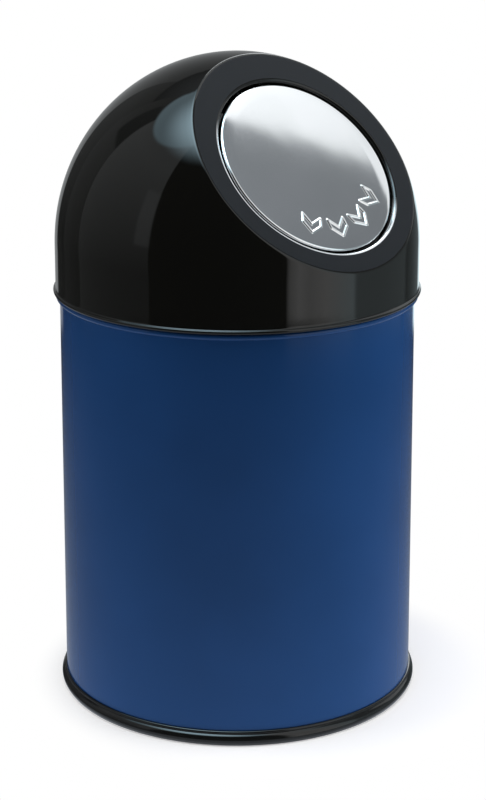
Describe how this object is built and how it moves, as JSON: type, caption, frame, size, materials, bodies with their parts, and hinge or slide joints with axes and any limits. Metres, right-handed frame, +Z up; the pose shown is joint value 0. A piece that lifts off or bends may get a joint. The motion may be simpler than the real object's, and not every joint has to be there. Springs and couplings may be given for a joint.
{
  "type": "push top countertop bin",
  "caption": "Round countertop bin: a can on a base ring with a loose inner bin and bail, under a domed lid with a slanted, sprung push flap.",
  "frame": {"origin": "centre of the base, on the surface that the bin stands on", "axes": "+Z up through the top of the dome, -Y towards the side that the slanted flap faces, +X to the right of someone who faces -Y from above and behind"},
  "size_m": [0.2074, 0.2074, 0.3648],
  "materials": {
    "blue_coat": "satin-gloss dark blue coating",
    "black_enamel": "high-gloss black enamel",
    "black_plastic": "glossy black moulded plastic",
    "stainless": "polished stainless steel",
    "zinc_sheet": "zinc-coated sheet with a faint spangle",
    "zinc_wire": "bright zinc-plated wire",
    "spring_wire": "drawn spring steel",
    "buffer_rubber": "matt black rubber"
  },
  "bodies": {
    "can": {"body_shell": "blue_coat", "body_bottom": "zinc_sheet", "base_ring": "black_plastic"},
    "inner_bin": {"inner_bin_shell": "zinc_sheet", "inner_bin_bottom": "zinc_sheet", "bail_ear_left": "zinc_sheet", "bail_ear_right": "zinc_sheet", "ear_rivets": "zinc_sheet"},
    "bail": {"bail_wire": "zinc_wire", "bail_grip": "black_plastic"},
    "lid": {"lid_dome": "black_enamel", "lid_collar": "black_enamel", "hinge_bracket_left": "black_enamel", "hinge_bracket_right": "black_enamel", "hinge_pin": "zinc_wire", "pin_clips": "zinc_sheet", "flap_spring": "spring_wire"},
    "flap": {"flap_disc": "stainless", "flap_back_plate": "black_enamel", "flap_lug_left": "zinc_sheet", "flap_lug_right": "zinc_sheet", "lug_rivets": "zinc_sheet", "hinge_bushes": "black_plastic", "flap_buffers": "buffer_rubber"}
  },
  "joints": [
    {"name": "lid_lift", "type": "slide", "parent": "can", "child": "lid", "axis": [0, 0, 1], "range_m": [0, 0.4]},
    {"name": "inner_bin_lift", "type": "slide", "parent": "can", "child": "inner_bin", "axis": [0, 0, 1], "range_m": [0, 0.24]},
    {"name": "bail_swing", "type": "hinge", "parent": "inner_bin", "child": "bail", "pos_m": [0, 0, 0.2086], "axis": [1, 0, 0], "range_deg": [0, 90]},
    {"name": "flap_swing", "type": "hinge", "parent": "lid", "child": "flap", "pos_m": [0, -0.01796, 0.33512], "axis": [1, 0, 0], "range_deg": [0, 65], "stiffness_Nm_per_rad": 0.03, "springref_deg": -103.13, "deforming": ["flap_spring"]}
  ],
  "couplings": [
    {"joint": "inner_bin_lift", "follows": "lid_lift", "ratio": 0.6},
    {"joint": "bail_swing", "follows": "lid_lift", "rad_per_m": 3.927}
  ]
}
